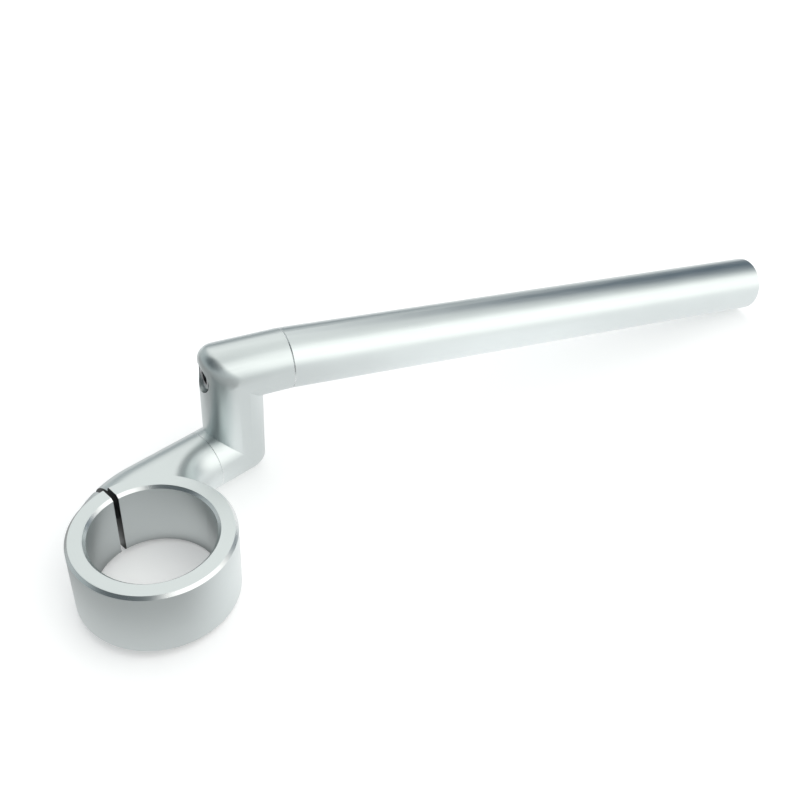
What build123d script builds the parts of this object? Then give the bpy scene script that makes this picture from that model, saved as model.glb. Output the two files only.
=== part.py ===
from build123d import *
import os
from math import asin, atan2, cos, degrees, radians, sin, sqrt

# A clip-on handlebar for one side of a motorcycle. Millimetres, +Z up along the fork leg.
# The origin is the centre of the fork bore, and the arm leaves the ring along +X.

# Ring that grips the fork leg
fork_bore_d = 41.0
ring_wall = 6.5
ring_height = 26.0
ring_edge = 1.0
slit_width = 2.0

# Round stock that the arm, the riser and the bar share, so that they meet flush
stock_d = 22.0

# Arm beside the ring: its far flank bends round the slit, its near side sweeps into the ring
arm_stand_out = 0.4
arm_overhang = 13.0
sweep_radius = 11.0
sweep_bite = 0.05
flank_start = 14.0
flank_radius = 44.0
lug_reach = 7.0

# Riser: a lower elbow, an upright post and an upper elbow
post_setback = 14.0
rise = 34.0
stub_length = 20.0
stub_swing = 19.5

# Bevel over the outer half of each elbow's mitre, and where it starts beside the elbow's centre
lower_corner = 2.2
upper_corner = 3.0
corner_start = 1.3

# Fine bevel on both ends of the riser and on the bar's root
joint_edge = 0.25

# Handlebar tube
bar_length = 220.0
bar_drop = 5.0
bar_wall = 3.0
bar_edge = 0.5

# Spigots that centre the two bolted joints
spigot_d = 14.0
spigot_length = 4.0
spigot_gap = 0.1

# Threaded plug pressed into a wider seat in the root of the bar, against the seat's shoulder
plug_length = 30.0
seat_wall = 2.5
plug_gap = 0.03

# Socket head screws and their holes
screw_d = 6.0
head_d = 10.0
head_height = 6.0
head_edge = 0.6
key_size = 5.0
key_depth = 3.0
thread_gap = 0.05
pass_gap = 0.3
head_gap = 0.5
seat_offset = 3.5
pinch_screw_length = 20.0
joint_screw_length = 35.0
hole_run_out = 1.5

bore_r = fork_bore_d / 2
ring_r = bore_r + ring_wall
stock_r = stock_d / 2
arm_y = ring_r + arm_stand_out
arm_face_x = ring_r + arm_overhang
post_x = arm_face_x + post_setback

# Centre of the concave sweep, outside the ring and below the arm in plan
sweep_y = arm_y - stock_r - sweep_radius
sweep_x = sqrt((ring_r + sweep_radius - sweep_bite) ** 2 - sweep_y ** 2)
sweep_angle = degrees(atan2(sweep_y, sweep_x))

# Centre of the convex flank, and the turn that takes it past the end of the lug
flank_y = arm_y + stock_r - flank_radius
flank_spine_r = flank_radius - stock_r
flank_turn = degrees(asin((flank_start + lug_reach) / flank_spine_r)) + 10

# Directions of the upper stub and of the bar
stub_dir = Vector(cos(radians(stub_swing)), -sin(radians(stub_swing)), 0)
bar_dir = stub_dir * cos(radians(bar_drop)) - Vector(0, 0, 1) * sin(radians(bar_drop))

# Elbow centres and joint faces
lower_elbow = Vector(post_x, arm_y, 0)
upper_elbow = Vector(post_x, arm_y, rise)
arm_face = Plane(origin=(arm_face_x, arm_y, 0), x_dir=(0, 1, 0), z_dir=(1, 0, 0))
bar_face = Plane(origin=upper_elbow + stub_dir * stub_length, x_dir=(0, 0, 1), z_dir=stub_dir)
bar_root = Plane(origin=bar_face.origin, x_dir=bar_face.x_dir, z_dir=bar_dir)

# Planes that the screw heads sit on, each facing the way its head points
pinch_seat = Plane(origin=(-lug_reach, arm_y, 0), x_dir=(0, 1, 0), z_dir=(-1, 0, 0))
riser_seat = Plane(origin=lower_elbow + Vector(seat_offset, 0, 0), x_dir=(0, 1, 0), z_dir=(1, 0, 0))
bar_seat = Plane(origin=upper_elbow - stub_dir * seat_offset, x_dir=(0, 0, 1), z_dir=-stub_dir)


def half_round(side):
    """Half of the stock's round section, on the given side of its upright diameter."""
    with BuildSketch() as section:
        with BuildLine():
            Line((0, -stock_r), (0, stock_r))
            ThreePointArc((0, stock_r), (side * stock_r, 0), (0, -stock_r))
        make_face()
    return section.sketch


def socket_screw(length):
    """Socket head screw with its head's underside on XY and its shank down -Z."""
    with BuildPart() as screw:
        with BuildSketch():
            Circle(head_d / 2)
        extrude(amount=head_height)
        chamfer(screw.faces().sort_by(Axis.Z)[-1].edges(), head_edge)
        with BuildSketch():
            Circle(screw_d / 2)
        extrude(amount=-length)
        with BuildSketch(Plane.XY.offset(head_height)):
            RegularPolygon(key_size / 2, 6, major_radius=False)
        extrude(amount=-key_depth, mode=Mode.SUBTRACT)
    return screw.part


def elbow(centre, run_in, run_out, length_in, length_out, corner):
    """Square mitred elbow in round stock, its mitre bevelled on the outside and sharp on the inside."""
    outward = (run_in - run_out).normalized()
    start = Plane(origin=centre - run_in * length_in, x_dir=outward.cross(run_in), z_dir=run_in)
    parting = Plane(origin=centre + outward * corner_start, z_dir=outward)
    with BuildLine() as runs:
        Polyline(centre - run_in * length_in, centre, centre + run_out * length_out)
    with BuildPart() as outer:
        with BuildSketch(start):
            Circle(stock_r)
        sweep(path=runs.line, transition=Transition.RIGHT)
        split(bisect_by=parting, keep=Keep.TOP)
        chamfer(outer.edges().sort_by(Axis(centre, outward))[-1], corner)
    with BuildPart() as whole:
        with BuildSketch(start):
            Circle(stock_r)
        sweep(path=runs.line, transition=Transition.RIGHT)
        split(bisect_by=parting, keep=Keep.BOTTOM)
        add(outer.part)
    return whole.part


pinch_blank = socket_screw(pinch_screw_length)
joint_blank = socket_screw(joint_screw_length)


# Fork clamp: ring, arm and lug in one piece
with BuildPart() as clamp:
    # Flat web between the two bends, as thick as the stock
    with BuildSketch(Plane.XY.offset(-stock_r)):
        with BuildLine():
            Line((sweep_x, arm_y), (flank_start, arm_y))
            flank = CenterArc((flank_start, flank_y), flank_spine_r, 90, flank_turn)
            Line(flank @ 1, (0, 0))
            near = CenterArc((sweep_x, sweep_y), sweep_radius + stock_r, 90, 90 + sweep_angle)
            Line((0, 0), near @ 1)
        make_face()
    extrude(amount=stock_d)

    # Far side: straight flank, then the bend round the slit
    with BuildSketch(Plane(origin=(flank_start, arm_y, 0), x_dir=(0, 1, 0), z_dir=(1, 0, 0))):
        add(half_round(1))
    extrude(amount=sweep_x - flank_start)
    with BuildSketch(Plane(origin=(flank_start, arm_y, 0), x_dir=(0, 1, 0), z_dir=(1, 0, 0))):
        add(half_round(1))
    revolve(axis=Axis((flank_start, flank_y, 0), (0, 0, 1)), revolution_arc=flank_turn)

    # Near side: the concave sweep into the ring
    with BuildSketch(Plane(origin=(sweep_x, arm_y, 0), x_dir=(0, 1, 0), z_dir=(1, 0, 0))):
        add(half_round(-1))
    revolve(axis=Axis((sweep_x, sweep_y, 0), (0, 0, 1)), revolution_arc=90 + sweep_angle)

    # Round end of the arm
    with BuildSketch(Plane(origin=(sweep_x, arm_y, 0), x_dir=(0, 1, 0), z_dir=(1, 0, 0))):
        Circle(stock_r)
    extrude(amount=arm_face_x - sweep_x)

    # The lug ends in a flat face for the screw head
    with BuildSketch(pinch_seat):
        Rectangle(4 * stock_d, 2 * stock_d)
    extrude(amount=2 * ring_r, mode=Mode.SUBTRACT)

    # Ring with bevelled edges, then its bore with bevelled mouths
    half = ring_height / 2
    with BuildSketch(Plane.XZ):
        with BuildLine():
            Line((0, -half), (ring_r - ring_edge, -half))
            Line((ring_r - ring_edge, -half), (ring_r, -half + ring_edge))
            Line((ring_r, -half + ring_edge), (ring_r, half - ring_edge))
            Line((ring_r, half - ring_edge), (ring_r - ring_edge, half))
            Line((ring_r - ring_edge, half), (0, half))
            Line((0, half), (0, -half))
        make_face()
    revolve(axis=Axis.Z)
    with BuildSketch(Plane.XZ):
        with BuildLine():
            Line((0, -half), (bore_r + ring_edge, -half))
            Line((bore_r + ring_edge, -half), (bore_r, -half + ring_edge))
            Line((bore_r, -half + ring_edge), (bore_r, half - ring_edge))
            Line((bore_r, half - ring_edge), (bore_r + ring_edge, half))
            Line((bore_r + ring_edge, half), (0, half))
            Line((0, half), (0, -half))
        make_face()
    revolve(axis=Axis.Z, mode=Mode.SUBTRACT)

    # Slit through the ring wall and the lug
    slit_end = arm_y + stock_d
    with BuildSketch(Plane.XY.offset(-ring_height / 2)):
        with Locations((0, slit_end / 2)):
            Rectangle(slit_width, slit_end)
    extrude(amount=ring_height, mode=Mode.SUBTRACT)

    # Pinch screw: head seat, plain hole in the lug, threaded hole in the arm
    with BuildSketch(pinch_seat):
        Circle(head_d / 2 + head_gap)
    extrude(amount=ring_r, mode=Mode.SUBTRACT)
    with BuildSketch(pinch_seat):
        Circle(screw_d / 2 + pass_gap)
    extrude(amount=-lug_reach, mode=Mode.SUBTRACT)
    with BuildSketch(pinch_seat.offset(-lug_reach)):
        Circle(screw_d / 2 + thread_gap)
    extrude(amount=-(pinch_screw_length - lug_reach + hole_run_out), mode=Mode.SUBTRACT)

    # Riser joint: spigot recess and threaded hole
    with BuildSketch(arm_face):
        Circle(spigot_d / 2 + spigot_gap)
    extrude(amount=-(spigot_length + spigot_gap), mode=Mode.SUBTRACT)
    with BuildSketch(arm_face):
        Circle(screw_d / 2 + thread_gap)
    extrude(amount=-(joint_screw_length - post_setback - seat_offset + hole_run_out), mode=Mode.SUBTRACT)


# Riser: one round bar with two square elbows, bevelled outside and sharp inside
with BuildPart() as riser:
    add(elbow(lower_elbow, arm_face.z_dir, Vector(0, 0, 1), post_setback, rise / 2, lower_corner))
    add(elbow(upper_elbow, Vector(0, 0, 1), stub_dir, rise / 2, stub_length, upper_corner))
    chamfer(riser.faces().sort_by(Axis.X)[0].edges(), joint_edge)
    chamfer(riser.faces().sort_by(Axis(upper_elbow, stub_dir))[-1].edges(), joint_edge)

    # Spigot into the arm, recess for the bar's spigot
    with BuildSketch(arm_face):
        Circle(spigot_d / 2)
    extrude(amount=-spigot_length)
    with BuildSketch(bar_face):
        Circle(spigot_d / 2 + spigot_gap)
    extrude(amount=-(spigot_length + spigot_gap), mode=Mode.SUBTRACT)

    # Head recesses in the backs of the elbows, and the screw holes along both stubs
    with BuildSketch(riser_seat, bar_seat):
        Circle(head_d / 2 + head_gap)
    extrude(amount=stock_r, mode=Mode.SUBTRACT)
    with BuildSketch(riser_seat):
        Circle(screw_d / 2 + pass_gap)
    extrude(amount=-(post_setback + seat_offset + spigot_length), mode=Mode.SUBTRACT)
    with BuildSketch(bar_seat):
        Circle(screw_d / 2 + pass_gap)
    extrude(amount=-(stub_length + seat_offset), mode=Mode.SUBTRACT)


# Handlebar tube, its root cut square to the stub so that the bar drops
with BuildPart() as bar_tube:
    with BuildSketch(bar_root):
        Circle(stock_r)
        Circle(stock_r - bar_wall, mode=Mode.SUBTRACT)
    extrude(amount=bar_length)
    chamfer(bar_tube.faces().sort_by(Axis(bar_root.origin, bar_dir))[-1].edges(), bar_edge)
    with BuildSketch(bar_root):
        Circle(stock_r)
        Circle(stock_r - bar_wall, mode=Mode.SUBTRACT)
    extrude(amount=-stock_r)
    with BuildSketch(bar_root.offset(-stock_r)):
        Circle(stock_r - seat_wall)
    extrude(amount=plug_length + stock_r, mode=Mode.SUBTRACT)
    split(bisect_by=bar_face, keep=Keep.TOP)
    root_rims = bar_tube.faces().sort_by(Axis(bar_root.origin, bar_dir))[0].edges()
    chamfer(root_rims.sort_by(SortBy.LENGTH)[-1], joint_edge)


# Plug in the bar's root, with the spigot and the thread that hold the bar to the riser
with BuildPart() as bar_plug:
    with BuildSketch(bar_root.offset(-stock_r)):
        Circle(stock_r - seat_wall - plug_gap)
    extrude(amount=plug_length + stock_r)
    split(bisect_by=bar_face, keep=Keep.TOP)
    with BuildSketch(bar_face):
        Circle(spigot_d / 2)
    extrude(amount=-spigot_length)
    with BuildSketch(bar_face.offset(-spigot_length)):
        Circle(screw_d / 2 + thread_gap)
    plug_thread = joint_screw_length - seat_offset - stub_length + spigot_length + hole_run_out
    extrude(amount=plug_thread, mode=Mode.SUBTRACT)


with BuildPart() as pinch_screw:
    add(pinch_seat.location * pinch_blank)

with BuildPart() as riser_screw:
    add(riser_seat.location * joint_blank)

with BuildPart() as bar_screw:
    add(bar_seat.location * joint_blank)


clamp.part.label = "clamp"
riser.part.label = "riser"
bar_tube.part.label = "bar_tube"
bar_plug.part.label = "bar_plug"
pinch_screw.part.label = "pinch_screw"
riser_screw.part.label = "riser_screw"
bar_screw.part.label = "bar_screw"

os.makedirs("parts", exist_ok=True)
export_step(clamp.part, "parts/clamp.step")
export_step(riser.part, "parts/riser.step")
export_step(bar_tube.part, "parts/bar_tube.step")
export_step(bar_plug.part, "parts/bar_plug.step")
export_step(pinch_screw.part, "parts/pinch_screw.step")
export_step(riser_screw.part, "parts/riser_screw.step")
export_step(bar_screw.part, "parts/bar_screw.step")
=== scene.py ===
import math

import bmesh
import bpy
from mathutils import Matrix, Vector


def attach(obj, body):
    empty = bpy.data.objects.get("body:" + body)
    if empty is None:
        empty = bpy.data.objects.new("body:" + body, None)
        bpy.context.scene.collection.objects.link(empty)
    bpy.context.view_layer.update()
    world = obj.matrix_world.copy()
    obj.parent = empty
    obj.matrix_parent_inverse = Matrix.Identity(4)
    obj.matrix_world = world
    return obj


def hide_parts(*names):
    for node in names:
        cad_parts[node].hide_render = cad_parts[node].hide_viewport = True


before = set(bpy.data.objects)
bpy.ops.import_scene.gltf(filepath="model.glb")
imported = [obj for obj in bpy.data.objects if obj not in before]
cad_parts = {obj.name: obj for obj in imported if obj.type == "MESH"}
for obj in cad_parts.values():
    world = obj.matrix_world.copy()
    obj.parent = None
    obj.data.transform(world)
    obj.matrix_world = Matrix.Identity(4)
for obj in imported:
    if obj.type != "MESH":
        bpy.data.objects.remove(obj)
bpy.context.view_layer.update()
mm = 0.001
scene = bpy.context.scene
print("frame loaded", sorted(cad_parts))

# Sizes that the pieces share, in millimetres; swing and drop are the bar's angles in degrees
layout = {
    "stockRadius": 11.0,
    "armEnd": 40.0,
    "elbowReach": 54.0,
    "elbowSide": 27.4,
    "rise": 34.0,
    "stub": 20.0,
    "barLength": 220.0,
    "screwSeat": 3.5,
    "swing": 19.5,
    "drop": 5.0,
}
swing = math.radians(layout["swing"])
drop = math.radians(layout["drop"])
armAlong = Vector((1, 0, 0))
stubAlong = Vector((math.cos(swing), -math.sin(swing), 0))
barAlong = stubAlong * math.cos(drop) - Vector((0, 0, 1)) * math.sin(drop)
lowerElbow = Vector((layout["elbowReach"], layout["elbowSide"], 0)) * mm
upperElbow = Vector((layout["elbowReach"], layout["elbowSide"], layout["rise"])) * mm
barRoot = upperElbow + stubAlong * layout["stub"] * mm
lowerSeat = lowerElbow + armAlong * layout["screwSeat"] * mm
upperSeat = upperElbow - stubAlong * layout["screwSeat"] * mm


# Small helpers for node trees
def addNode(tree, kind, **settings):
    node = tree.nodes.new(kind)
    for name, value in settings.items():
        setattr(node, name, value)
    return node


def addMath(tree, operation, *sources):
    node = addNode(tree, "ShaderNodeMath", operation=operation)
    for index, source in enumerate(sources):
        if isinstance(source, (int, float)):
            node.inputs[index].default_value = source
        else:
            tree.links.new(source, node.inputs[index])
    return node.outputs[0]


def addRange(tree, source, span, levels, kind="LINEAR"):
    node = addNode(tree, "ShaderNodeMapRange", interpolation_type=kind)
    for name, value in zip(("From Min", "From Max", "To Min", "To Max"), (*span, *levels)):
        node.inputs[name].default_value = value
    tree.links.new(source, node.inputs["Value"])
    return node.outputs["Result"]


# Soft change from one level to another over a span in millimetres
def addFade(tree, source, span, levels):
    return addRange(tree, source, [end * mm for end in span], levels, "SMOOTHSTEP")


def newGroup(name, inputs, outputs):
    group = bpy.data.node_groups.new(name, "ShaderNodeTree")
    for socketName, kind, value in inputs:
        socket = group.interface.new_socket(name=socketName, in_out="INPUT", socket_type=kind)
        if value is not None:
            socket.default_value = value
    for socketName, kind in outputs:
        group.interface.new_socket(name=socketName, in_out="OUTPUT", socket_type=kind)
    return group, group.nodes.new("NodeGroupInput"), group.nodes.new("NodeGroupOutput")


def placeGroup(tree, group, **values):
    node = addNode(tree, "ShaderNodeGroup", node_tree=group)
    for socketName, value in values.items():
        node.inputs[socketName].default_value = value
    return node


# Fine tooth that blasting and anodising leave: cloudy colour, uneven gloss and a very small bump
satin = {
    "toothScale": 2600,
    "toothDetail": 3,
    "cloudScale": 55,
    "cloudDetail": 4,
    "cloudSpan": (0.3, 0.7),
    "cloudTone": (0.96, 1.0),
    "cloudGloss": 0.06,
    "grainGloss": 0.16,
    "grainHeight": 0.15,
    "wornColour": (0.86, 0.87, 0.87, 1),
    "wornShare": 0.6,
    "wornGloss": -0.09,
    "bumpDistance": 0.02,  # millimetres
}


def makeSatinGroup():
    group, ins, outs = newGroup(
        "satinFinish",
        [("Vector", "NodeSocketVector", None), ("Normal", "NodeSocketVector", None),
         ("Colour", "NodeSocketColor", (0.8, 0.8, 0.8, 1)), ("Gloss", "NodeSocketFloat", 0.3),
         ("Tooth", "NodeSocketFloat", 0.05), ("Grain", "NodeSocketFloat", 0.5),
         ("Wear", "NodeSocketFloat", 0)],
        [("Colour", "NodeSocketColor"), ("Roughness", "NodeSocketFloat"), ("Normal", "NodeSocketVector")])
    link = group.links.new
    grain = ins.outputs["Grain"]
    wear = ins.outputs["Wear"]
    tooth = addNode(group, "ShaderNodeTexNoise")
    tooth.inputs["Scale"].default_value = satin["toothScale"]
    tooth.inputs["Detail"].default_value = satin["toothDetail"]
    cloud = addNode(group, "ShaderNodeTexNoise")
    cloud.inputs["Scale"].default_value = satin["cloudScale"]
    cloud.inputs["Detail"].default_value = satin["cloudDetail"]
    link(ins.outputs["Vector"], tooth.inputs["Vector"])
    link(ins.outputs["Vector"], cloud.inputs["Vector"])
    tone = addRange(group, cloud.outputs["Fac"], satin["cloudSpan"], satin["cloudTone"])
    shade = addNode(group, "ShaderNodeMix", data_type="RGBA", blend_type="MULTIPLY")
    shade.inputs["Factor"].default_value = 1
    link(ins.outputs["Colour"], shade.inputs[6])
    link(tone, shade.inputs[7])
    bared = addNode(group, "ShaderNodeMix", data_type="RGBA")
    link(addMath(group, "MULTIPLY", wear, satin["wornShare"]), bared.inputs["Factor"])
    link(shade.outputs[2], bared.inputs[6])
    bared.inputs[7].default_value = satin["wornColour"]
    link(bared.outputs[2], outs.inputs["Colour"])
    gloss = addMath(group, "MULTIPLY_ADD", cloud.outputs["Fac"], satin["cloudGloss"], ins.outputs["Gloss"])
    streak = addMath(group, "SUBTRACT", grain, 0.5)
    gloss = addMath(group, "MULTIPLY_ADD", streak, satin["grainGloss"], gloss)
    gloss = addMath(group, "MULTIPLY_ADD", wear, satin["wornGloss"], gloss)
    link(gloss, outs.inputs["Roughness"])
    height = addMath(group, "MULTIPLY_ADD", grain, satin["grainHeight"], tooth.outputs["Fac"])
    bump = addNode(group, "ShaderNodeBump")
    bump.inputs["Distance"].default_value = satin["bumpDistance"] * mm
    link(ins.outputs["Tooth"], bump.inputs["Strength"])
    link(height, bump.inputs["Height"])
    link(ins.outputs["Normal"], bump.inputs["Normal"])
    link(bump.outputs["Normal"], outs.inputs["Normal"])
    return group


# Fine streaks along one direction, as drawing and sanding along the stock leave them
streaks = {
    "scale": 1300,
    "detail": 2,
    "stretch": 0.96,  # how much of the length along the stock is taken out
}


def makeGrainGroup():
    group, ins, outs = newGroup(
        "drawnGrain",
        [("Vector", "NodeSocketVector", None), ("Along", "NodeSocketVector", (1, 0, 0))],
        [("Grain", "NodeSocketFloat")])
    link = group.links.new
    reach = addNode(group, "ShaderNodeVectorMath", operation="DOT_PRODUCT")
    link(ins.outputs["Vector"], reach.inputs[0])
    link(ins.outputs["Along"], reach.inputs[1])
    run = addNode(group, "ShaderNodeVectorMath", operation="SCALE")
    link(ins.outputs["Along"], run.inputs[0])
    link(addMath(group, "MULTIPLY", reach.outputs["Value"], streaks["stretch"]), run.inputs["Scale"])
    squeezed = addNode(group, "ShaderNodeVectorMath", operation="SUBTRACT")
    link(ins.outputs["Vector"], squeezed.inputs[0])
    link(run.outputs["Vector"], squeezed.inputs[1])
    noise = addNode(group, "ShaderNodeTexNoise")
    noise.inputs["Scale"].default_value = streaks["scale"]
    noise.inputs["Detail"].default_value = streaks["detail"]
    link(squeezed.outputs["Vector"], noise.inputs["Vector"])
    link(noise.outputs["Fac"], outs.inputs["Grain"])
    return group


satinFinish = makeSatinGroup()
drawnGrain = makeGrainGroup()


def metalMaterial(name, look, along=None):
    material = bpy.data.materials.new(name)
    material.use_nodes = True
    tree = material.node_tree
    shader = tree.nodes["Principled BSDF"]
    shader.inputs["Metallic"].default_value = 1
    where = addNode(tree, "ShaderNodeTexCoord").outputs["Object"]
    shape = addNode(tree, "ShaderNodeNewGeometry").outputs["Normal"]
    finish = placeGroup(tree, satinFinish, Colour=(*look["colour"], 1), Gloss=look["gloss"],
                        Tooth=look["tooth"])
    tree.links.new(where, finish.inputs["Vector"])
    tree.links.new(shape, finish.inputs["Normal"])
    if along is not None:
        grain = placeGroup(tree, drawnGrain, Along=along)
        tree.links.new(where, grain.inputs["Vector"])
        tree.links.new(grain.outputs["Grain"], finish.inputs["Grain"])
    tree.links.new(finish.outputs["Colour"], shader.inputs["Base Color"])
    tree.links.new(finish.outputs["Roughness"], shader.inputs["Roughness"])
    tree.links.new(finish.outputs["Normal"], shader.inputs["Normal"])
    return material, tree, where, finish


# Mask of a band with soft edges; centre and half width in millimetres
def band(tree, source, centre, half):
    softEdge = 0.15
    away = addMath(tree, "ABSOLUTE", addMath(tree, "SUBTRACT", source, centre * mm))
    return addFade(tree, away, (half, half + softEdge), (1, 0))


def reachAlong(tree, where, along, start):
    node = addNode(tree, "ShaderNodeVectorMath", operation="DOT_PRODUCT")
    tree.links.new(where, node.inputs[0])
    node.inputs[1].default_value = along
    return addMath(tree, "SUBTRACT", node.outputs["Value"], start.dot(along))


# Ring: bright turned bevels, and painted shade in the slit; radii, heights and widths in millimetres
clampLook = {
    "colour": (0.732, 0.785, 0.783),
    "slitShadeColour": (0.16, 0.17, 0.17),
    "gloss": 0.33,
    "tooth": 0.35,
    "outerRim": 26.5,
    "innerRim": 21.0,
    "rimHalf": 0.4,
    "rimHeight": 11.97,
    "slitHalf": 1.02,
    "slitStart": 19.0,
}


def clampMaterial():
    look = clampLook
    material, tree, where, finish = metalMaterial("clampAnodised", look)
    split = addNode(tree, "ShaderNodeSeparateXYZ")
    tree.links.new(where, split.inputs["Vector"])
    x, y, z = (split.outputs[name] for name in "XYZ")
    squares = [addMath(tree, "MULTIPLY", side, side) for side in (x, y)]
    radius = addMath(tree, "SQRT", addMath(tree, "ADD", *squares))
    high = addMath(tree, "GREATER_THAN", addMath(tree, "ABSOLUTE", z), look["rimHeight"] * mm)
    rims = addMath(tree, "ADD", band(tree, radius, look["outerRim"], look["rimHalf"]),
                   band(tree, radius, look["innerRim"], look["rimHalf"]))
    tree.links.new(addMath(tree, "MULTIPLY", high, rims), finish.inputs["Wear"])
    # Painted shade: the slit's walls get a dark colour where the narrow gap lies in shade
    slitShade = addMath(tree, "LESS_THAN", addMath(tree, "ABSOLUTE", x), look["slitHalf"] * mm)
    slitShade = addMath(tree, "MULTIPLY", slitShade, addMath(tree, "GREATER_THAN", y, look["slitStart"] * mm))
    tone = addNode(tree, "ShaderNodeMix", data_type="RGBA")
    tree.links.new(slitShade, tone.inputs["Factor"])
    tone.inputs[6].default_value = (*look["colour"], 1)
    tone.inputs[7].default_value = (*look["slitShadeColour"], 1)
    tree.links.new(tone.outputs[2], finish.inputs["Colour"])
    return material


# Riser: worn fine bevels at its two ends
riserLook = {
    "colour": (0.732, 0.785, 0.783),
    "gloss": 0.33,
    "tooth": 0.35,
    "bevelIn": 0.1,
    "bevelHalf": 0.15,
}


def riserMaterial():
    look = riserLook
    material, tree, where, finish = metalMaterial("riserAnodised", look, stubAlong)
    armEnd = layout["armEnd"] - layout["elbowReach"] + look["bevelIn"]
    atArm = band(tree, reachAlong(tree, where, armAlong, lowerElbow), armEnd, look["bevelHalf"])
    atBar = band(tree, reachAlong(tree, where, stubAlong, barRoot), -look["bevelIn"], look["bevelHalf"])
    tree.links.new(addMath(tree, "ADD", atArm, atBar), finish.inputs["Wear"])
    return material


# Bar: drawn along its length, worn at the root's bevel and at the open end
barLook = {
    "colour": (0.73, 0.782, 0.782),
    "gloss": 0.29,
    "tooth": 0.3,
    "bevelIn": 0.1,
    "bevelHalf": 0.15,
    "endIn": 0.2,
    "endHalf": 0.35,
}


def barMaterial():
    look = barLook
    material, tree, where, finish = metalMaterial("barAnodised", look, barAlong)
    atRoot = band(tree, reachAlong(tree, where, stubAlong, barRoot), look["bevelIn"], look["bevelHalf"])
    atEnd = band(tree, reachAlong(tree, where, barAlong, barRoot), layout["barLength"] - look["endIn"],
                 look["endHalf"])
    tree.links.new(addMath(tree, "ADD", atRoot, atEnd), finish.inputs["Wear"])
    return material


# Plug of turned aluminium, and screws of dark steel
plugLook = {
    "colour": (0.76, 0.76, 0.75),
    "gloss": 0.22,
    "tooth": 0.3,
}
screwLook = {
    "colour": (0.36, 0.37, 0.38),
    "gloss": 0.24,
    "tooth": 0.3,
}
screwSteel = metalMaterial("screwSteel", screwLook)[0]
finishes = {
    "clamp": clampMaterial(),
    "riser": riserMaterial(),
    "bar_tube": barMaterial(),
    "bar_plug": metalMaterial("plugTurned", plugLook)[0],
    "pinch_screw": screwSteel,
    "riser_screw": screwSteel,
    "bar_screw": screwSteel,
}
for nodeName, material in finishes.items():
    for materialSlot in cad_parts[nodeName].material_slots:
        materialSlot.material = material
print("finishes placed")


def makeObject(bm, name):
    mesh = bpy.data.meshes.new(name)
    bm.to_mesh(mesh)
    bm.free()
    piece = bpy.data.objects.new(name, mesh)
    scene.collection.objects.link(piece)
    return piece


# Brings a shape made in millimetres along +Z to its seat, and makes it an object
def seatObject(bm, name, seat, direction):
    turn = direction.to_track_quat("Z", "Y").to_matrix().to_4x4()
    bmesh.ops.transform(bm, matrix=Matrix.Translation(seat) @ turn @ Matrix.Scale(mm, 4), verts=bm.verts)
    return makeObject(bm, name)


def vertBelow(vert, ring):
    return next(edge.other_vert(vert) for edge in vert.link_edges if edge.other_vert(vert) in ring)


# Lofts a closed solid: the first ring is capped, and each next ring is extruded from the one before.
# ringsOver gives each ring's corners from the unit circle's spokes.
def loft(bm, corners, ringsOver):
    mergeDistance = 0.002  # millimetres
    made = bmesh.ops.create_circle(bm, cap_ends=True, radius=1, segments=corners)
    order = {vert: index for index, vert in enumerate(made["verts"])}
    edges = bm.edges[:]
    for level, spots in enumerate(ringsOver([vert.co.copy() for vert in made["verts"]])):
        if level:
            grown = bmesh.ops.extrude_edge_only(bm, edges=edges)["geom"]
            fresh = {item for item in grown if isinstance(item, bmesh.types.BMVert)}
            edges = [item for item in grown
                     if isinstance(item, bmesh.types.BMEdge) and set(item.verts) <= fresh]
            order = {vert: order[vertBelow(vert, order)] for vert in fresh}
        for vert, index in order.items():
            vert.co = spots[index]
    bmesh.ops.holes_fill(bm, edges=edges, sides=0)
    bmesh.ops.remove_doubles(bm, verts=bm.verts, dist=mergeDistance)
    bmesh.ops.recalc_face_normals(bm, faces=bm.faces)


# How far a ring reaches along a spoke; a hexagon's radius is to its corners
def spokeReach(spoke, radius, hexagonal):
    if not hexagonal:
        return radius
    fromFlat = math.atan2(spoke.y, spoke.x) % (math.pi / 3) - math.pi / 6
    return radius * math.cos(math.pi / 6) / math.cos(fromFlat)


# Rings round +Z, each given by its radius, its height and whether it is a hexagon
def turnedRings(outline, spokes):
    rings = []
    for radius, height, hexagonal in outline:
        reaches = [spokeReach(spoke, radius, hexagonal) for spoke in spokes]
        rings.append([Vector((spoke.x * reach, spoke.y * reach, height))
                      for spoke, reach in zip(spokes, reaches)])
    return rings


# Screws in millimetres: what all three share, and each kind's sizes. The pinch screw's head is low.
screwForm = {
    "corners": 48,
    "tipBevel": 0.5,
    "shoulder": 0.4,
    "seatBevel": 0.3,
    "crownIn": 0.6,
    "crownDown": 0.7,
    "socketFlare": 0.4,
    "socketLead": 0.25,
    "knurlInset": 0.09,
    "knurlDepth": 0.12,
    "ridgeSunk": 0.05,
    "ridgeHeight": 0.7,
    "ridgeStart": 0.6,
    "unthreaded": 1.6,
    "turnSteps": 24,
}
jointScrew = {
    "radius": 3.0,
    "coreRadius": 2.45,
    "length": 35.0,
    "plain": 11.0,
    "pitch": 1.0,
    "head": 5.0,
    "headHeight": 6.0,
    "key": 2.85,
    "keyDepth": 3.0,
}
lowScrew = {
    "radius": 3.0,
    "coreRadius": 2.45,
    "length": 20.0,
    "plain": 2.0,
    "pitch": 1.0,
    "head": 5.0,
    "headHeight": 3.2,
    "key": 2.3,
    "keyDepth": 1.8,
}
pinchSeat = Vector((-7, 27.4, 0)) * mm


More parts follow.
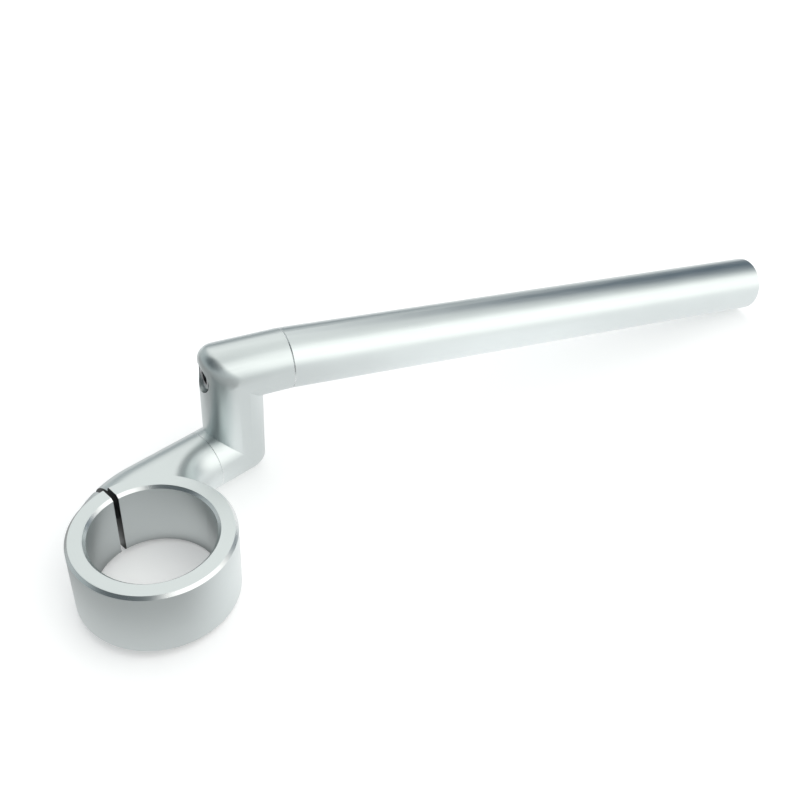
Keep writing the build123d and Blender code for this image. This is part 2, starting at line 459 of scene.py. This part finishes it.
# Socket head screw along +Z with its head's underside at zero, knurled round the head
def makeScrew(name, detail, seat, headDirection):
    form = screwForm
    core, radius, head, key = (detail[size] for size in ("coreRadius", "radius", "head", "key"))
    tip = -detail["length"]
    top = detail["headHeight"]
    outline = [
        (core - form["tipBevel"], tip, False),
        (core, tip + form["tipBevel"], False),
        (core, -detail["plain"], False),
        (radius, -detail["plain"] + form["shoulder"], False),
        (radius, 0, False),
        (head - form["seatBevel"], 0, False),
        (head, form["seatBevel"], False),
        (head, top - form["crownDown"], False),
        (head - form["crownIn"], top, False),
        (key + form["socketFlare"], top, False),
        (key, top - form["socketLead"], True),
        (key, top - detail["keyDepth"], True),
    ]
    bm = bmesh.new()
    loft(bm, form["corners"], lambda spokes: turnedRings(outline, spokes))
    tolerance = 1e-4
    knurl = [face for face in bm.faces
             if all(abs(vert.co.xy.length - head) < tolerance for vert in face.verts)]
    bmesh.ops.inset_individual(bm, faces=knurl, thickness=form["knurlInset"], depth=-form["knurlDepth"])
    foot = core - form["ridgeSunk"]
    profile = ((foot, 0, 0), (radius, 0, form["ridgeHeight"] / 2), (foot, 0, form["ridgeHeight"]))
    ridge = [bm.verts.new(spot) for spot in profile]
    face = bm.faces.new(ridge)
    bmesh.ops.translate(bm, vec=(0, 0, tip + form["ridgeStart"]), verts=ridge)
    turns = int((detail["length"] - detail["plain"] - form["unthreaded"]) / detail["pitch"])
    bmesh.ops.spin(bm, geom=[face] + face.edges[:] + face.verts[:], cent=(0, 0, 0), axis=(0, 0, 1),
                   dvec=(0, 0, detail["pitch"] / form["turnSteps"]), angle=turns * 2 * math.pi,
                   steps=turns * form["turnSteps"], use_merge=False, use_duplicate=False)
    bmesh.ops.recalc_face_normals(bm, faces=bm.faces)
    piece = seatObject(bm, name, seat, headDirection)
    piece.data.materials.append(screwSteel)
    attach(piece, "root")
    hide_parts(name)


makeScrew("pinch_screw", lowScrew, pinchSeat, -armAlong)
makeScrew("riser_screw", jointScrew, lowerSeat, armAlong)
makeScrew("bar_screw", jointScrew, upperSeat, -stubAlong)
print("screws made")

# The riser with its elbows rounded outside and sharp inside, bored for its two screws; millimetres
riser = {
    "corners": 96,
    "arcSteps": 8,
    "bend": 4.5,
    "fade": 6.0,
    "edge": 0.25,
    "spigot": 7.0,
    "spigotLength": 4.0,
    "mouth": 7.1,
    "mouthDepth": 4.1,
    "crease": 24,  # degrees past which an edge stays sharp
    "holeCorners": 48,
    "hole": 3.3,
    "recess": 5.5,
    "recessLength": 12,
    "lowerReach": 23,
    "upperReach": 25,
}


# Cutter for a screw's clearance hole, with the recess for its head
def makeCutter(seat, headDirection, reach):
    outline = [
        (riser["hole"], -reach, False),
        (riser["hole"], 0, False),
        (riser["recess"], 0, False),
        (riser["recess"], riser["recessLength"], False),
    ]
    bm = bmesh.new()
    loft(bm, riser["holeCorners"], lambda spokes: turnedRings(outline, spokes))
    return seatObject(bm, "cutter", seat, headDirection)


def flatRing(centre, radius, directions):
    return [centre + direction * radius for direction in directions]


# Rings along the riser: spigot, end face, two mitred elbows, end face and the mouth for the plug
def riserRings(spokes):
    stock = layout["stockRadius"]
    across = [Vector((0, spoke.x, spoke.y)) for spoke in spokes]
    runs = [armAlong, Vector((0, 0, 1)), stubAlong]
    centres = [lowerElbow / mm, upperElbow / mm]
    begin = Vector((layout["armEnd"], centres[0].y, 0))
    end = centres[1] + stubAlong * layout["stub"]
    rings = [
        flatRing(begin - armAlong * riser["spigotLength"], riser["spigot"], across),
        flatRing(begin, riser["spigot"], across),
        flatRing(begin, stock - riser["edge"], across),
        flatRing(begin + armAlong * riser["edge"], stock, across),
    ]
    spots = rings[-1]
    for centre, runIn, runOut in zip(centres, runs, runs[1:]):
        mitred = [spot + runIn * (centre - spot).dot(runIn + runOut) for spot in spots]
        outward = (runIn - runOut).normalized()
        bends = []
        for spot in mitred:
            share = min(max((spot - centre).dot(outward) / riser["fade"], 0), 1)
            bends.append(riser["bend"] * share * share * (3 - 2 * share))
        for step in range(riser["arcSteps"] + 1):
            angle = math.pi / 2 * step / riser["arcSteps"]
            swept = runIn * (math.sin(angle) - 1) + runOut * (1 - math.cos(angle))
            rings.append([spot + swept * bend for spot, bend in zip(mitred, bends)])
        spots = mitred
    aways = [spot - centres[1] for spot in spots]
    outwards = [(away - stubAlong * away.dot(stubAlong)).normalized() for away in aways]
    rings += [
        flatRing(end - stubAlong * riser["edge"], stock, outwards),
        flatRing(end, stock - riser["edge"], outwards),
        flatRing(end, riser["mouth"], outwards),
        flatRing(end - stubAlong * riser["mouthDepth"], riser["mouth"], outwards),
    ]
    return rings


def makeRiser():
    bm = bmesh.new()
    loft(bm, riser["corners"], riserRings)
    bmesh.ops.scale(bm, vec=(mm, mm, mm), verts=bm.verts)
    piece = makeObject(bm, "riser")
    cutters = [makeCutter(lowerSeat, armAlong, riser["lowerReach"]),
               makeCutter(upperSeat, -stubAlong, riser["upperReach"])]
    for cutter in cutters:
        modifier = piece.modifiers.new("recess", "BOOLEAN")
        modifier.operation = "DIFFERENCE"
        modifier.solver = "EXACT"
        modifier.object = cutter
    bpy.context.view_layer.update()
    graph = bpy.context.evaluated_depsgraph_get()
    bored = bpy.data.meshes.new_from_object(piece.evaluated_get(graph))
    piece.modifiers.clear()
    piece.data = bored
    for cutter in cutters:
        bpy.data.objects.remove(cutter)
    bored.polygons.foreach_set("use_smooth", [True] * len(bored.polygons))
    bored.set_sharp_from_angle(angle=math.radians(riser["crease"]))
    bored.materials.clear()
    bored.materials.append(finishes["riser"])
    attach(piece, "root")
    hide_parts("riser")


makeRiser()
print("riser made")

# The part lies on the ring's lower edge, the lower elbow and the far end of the bar
rest = {
    "ringPoint": Vector((25.6, -4.3, -13)) * mm,
    "elbowPoint": Vector((62.0, 27.4, -11)) * mm,
    "barPoint": Vector((279.5, -52.4, 3.8)) * mm,
}
# White paper for the camera. In the metal's reflections it shows painted light that changes along the bar
# and brightens beside the ring, and painted shade under the ring: each entry is a span in millimetres and
# the levels at its two ends.
paper = {
    "size": 4.0,  # metres
    "roughness": 0.9,
    "albedo": 0.85,
    "glow": 0.23,
    "mirroredAlbedo": 0.12,
    "lightAlongBar": [((-15, 45), (0.24, 0.70)), ((70, 150), (0, 0.31)), ((170, 230), (0, -0.12))],
    "lightBesideRing": ((27, 62), (0.38, 0)),
    "shadeUnderRing": [((15, 20), (0.6, 0)), ((24.5, 27.5), (0.1, 1))],
}


def floorMaterial():
    material = bpy.data.materials.new("floorWhite")
    material.use_nodes = True
    tree = material.node_tree
    shader = tree.nodes["Principled BSDF"]
    shader.inputs["Roughness"].default_value = paper["roughness"]
    shader.inputs["Specular IOR Level"].default_value = 0
    split = addNode(tree, "ShaderNodeSeparateXYZ")
    tree.links.new(addNode(tree, "ShaderNodeTexCoord").outputs["Object"], split.inputs["Vector"])
    seen = addNode(tree, "ShaderNodeLightPath").outputs["Is Camera Ray"]
    flat = addNode(tree, "ShaderNodeCombineXYZ")
    tree.links.new(split.outputs["X"], flat.inputs["X"])
    tree.links.new(split.outputs["Y"], flat.inputs["Y"])
    length = addNode(tree, "ShaderNodeVectorMath", operation="LENGTH")
    tree.links.new(flat.outputs["Vector"], length.inputs[0])
    radius = length.outputs["Value"]
    # Painted light in the paper's reflections: it changes along the bar and is brighter beside the ring
    near, far, end = (addFade(tree, split.outputs["X"], *change) for change in paper["lightAlongBar"])
    besideLight = addFade(tree, radius, *paper["lightBesideRing"])
    # Painted shade in the paper's reflections: darkest under the ring's wall and darker inside the bore
    shadeInside, shadeUnder = (addFade(tree, radius, *change) for change in paper["shadeUnderRing"])
    mirrored = addMath(tree, "ADD", addMath(tree, "ADD", near, far), addMath(tree, "ADD", end, besideLight))
    mirrored = addMath(tree, "MULTIPLY", mirrored, addMath(tree, "ADD", shadeInside, shadeUnder))
    glow = addNode(tree, "ShaderNodeMix", data_type="FLOAT")
    tree.links.new(seen, glow.inputs["Factor"])
    tree.links.new(mirrored, glow.inputs["A"])
    glow.inputs["B"].default_value = paper["glow"]
    albedo = addRange(tree, seen, (0, 1), (paper["mirroredAlbedo"], paper["albedo"]))
    tree.links.new(albedo, shader.inputs["Base Color"])
    shader.inputs["Emission Color"].default_value = (1, 1, 1, 1)
    tree.links.new(glow.outputs["Result"], shader.inputs["Emission Strength"])
    return material


def makeFloor():
    across = rest["barPoint"] - rest["ringPoint"]
    along = rest["elbowPoint"] - rest["ringPoint"]
    up = across.cross(along).normalized()
    bm = bmesh.new()
    bmesh.ops.create_grid(bm, x_segments=2, y_segments=2, size=paper["size"] / 2)
    turn = up.to_track_quat("Z", "Y").to_matrix().to_4x4()
    bmesh.ops.transform(bm, matrix=Matrix.Translation(rest["ringPoint"]) @ turn, verts=bm.verts)
    floor = makeObject(bm, "floor")
    floor.data.materials.append(floorMaterial())


makeFloor()
print("floor laid")

# Camera at the photograph's place and angle; place, lens, sensor and clip in Blender's units
view = {
    "place": Vector((-112.2, -199.1, 248.7)) * mm,
    "azimuth": -48.54,
    "elevation": 38.99,
    "roll": -4.26,
    "lens": 45.03,
    "sensor": 36,
    "clip": 0.01,
}


def makeCamera():
    azimuth = math.radians(view["azimuth"])
    elevation = math.radians(view["elevation"])
    back = Vector((math.sin(azimuth) * math.cos(elevation), -math.cos(azimuth) * math.cos(elevation),
                   math.sin(elevation)))
    right = Vector((math.cos(azimuth), math.sin(azimuth), 0))
    up = back.cross(right)
    roll = Matrix.Rotation(math.radians(-view["roll"]), 3, "Z")
    turn = Matrix((right, up, back)).transposed() @ roll
    data = bpy.data.cameras.new("camera")
    data.lens = view["lens"]
    data.sensor_width = view["sensor"]
    data.clip_start = view["clip"]
    camera = bpy.data.objects.new("camera", data)
    camera.matrix_world = Matrix.Translation(view["place"]) @ turn.to_4x4()
    scene.collection.objects.link(camera)
    scene.camera = camera


makeCamera()
print("camera placed")

# Studio around the part: soft patches of brightness, each with its direction, its inner and outer
# half angles and its colour. Directions are degrees round from +X towards +Y, and degrees up.
studio = {
    "base": (0.53, 0.57, 0.575),
    "backdrop": (1, 1, 1),
    "overhead": 1.4,
    "overheadAngle": 140,
    "patches": [
        {"aim": (30, 68), "inner": 15, "outer": 44, "colour": (0.95, 0.96, 0.94)},
        {"aim": (42, 42), "inner": 16, "outer": 36, "colour": (1.12, 1.12, 1.10)},
        {"aim": (55, 6), "inner": 10, "outer": 27, "colour": (0.21, 0.25, 0.27)},
        {"aim": (160, 27), "inner": 15, "outer": 45, "colour": (0.42, 0.47, 0.48)},
        {"aim": (-168, 46), "inner": 22, "outer": 44, "colour": (0.10, 0.12, 0.13)},
        {"aim": (-47, 22), "inner": 8, "outer": 26, "colour": (1.04, 1.03, 1.01)},
        {"aim": (-75, 33), "inner": 16, "outer": 43, "colour": (1.5, 1.49, 1.45)},
        {"aim": (8, 25), "inner": 16, "outer": 32, "colour": (0.07, 0.11, 0.15)},
    ],
}


def makePatchGroup():
    group, ins, outs = newGroup(
        "softPatch",
        [("Direction", "NodeSocketVector", None), ("Aim", "NodeSocketVector", (0, 0, 1)),
         ("Edge", "NodeSocketFloat", 0.5), ("Core", "NodeSocketFloat", 0.9)],
        [("Mask", "NodeSocketFloat")])
    dot = addNode(group, "ShaderNodeVectorMath", operation="DOT_PRODUCT")
    group.links.new(ins.outputs["Direction"], dot.inputs[0])
    group.links.new(ins.outputs["Aim"], dot.inputs[1])
    fade = addNode(group, "ShaderNodeMapRange", interpolation_type="SMOOTHSTEP")
    group.links.new(dot.outputs["Value"], fade.inputs["Value"])
    group.links.new(ins.outputs["Edge"], fade.inputs["From Min"])
    group.links.new(ins.outputs["Core"], fade.inputs["From Max"])
    group.links.new(fade.outputs["Result"], outs.inputs["Mask"])
    return group


# The metal mirrors the patches, and the camera sees the plain backdrop
def makeStudio():
    world = bpy.data.worlds.new("world")
    scene.world = world
    world.use_nodes = True
    tree = world.node_tree
    where = addNode(tree, "ShaderNodeTexCoord").outputs["Generated"]
    softPatch = makePatchGroup()
    colour = None
    for patch in studio["patches"]:
        turn, rise = (math.radians(angle) for angle in patch["aim"])
        aim = (math.cos(turn) * math.cos(rise), math.sin(turn) * math.cos(rise), math.sin(rise))
        core, edge = (math.cos(math.radians(patch[half])) for half in ("inner", "outer"))
        mask = placeGroup(tree, softPatch, Aim=aim, Edge=edge, Core=core)
        tree.links.new(where, mask.inputs["Direction"])
        mix = addNode(tree, "ShaderNodeMix", data_type="RGBA")
        tree.links.new(mask.outputs["Mask"], mix.inputs["Factor"])
        mix.inputs[6].default_value = (*studio["base"], 1)
        if colour is not None:
            tree.links.new(colour, mix.inputs[6])
        mix.inputs[7].default_value = (*patch["colour"], 1)
        colour = mix.outputs[2]
    seen = addNode(tree, "ShaderNodeMix", data_type="RGBA")
    tree.links.new(addNode(tree, "ShaderNodeLightPath").outputs["Is Camera Ray"], seen.inputs["Factor"])
    tree.links.new(colour, seen.inputs[6])
    seen.inputs[7].default_value = (*studio["backdrop"], 1)
    tree.links.new(seen.outputs[2], tree.nodes["Background"].inputs["Color"])


# Very soft light from above that brightens the paper and never shows in the metal
def makeOverhead():
    data = bpy.data.lights.new("overhead", "SUN")
    data.energy = studio["overhead"]
    data.angle = math.radians(studio["overheadAngle"])
    light = bpy.data.objects.new("overhead", data)
    light.visible_glossy = False
    scene.collection.objects.link(light)


makeStudio()
makeOverhead()
scene.view_settings.view_transform = "Standard"
print("studio ready")
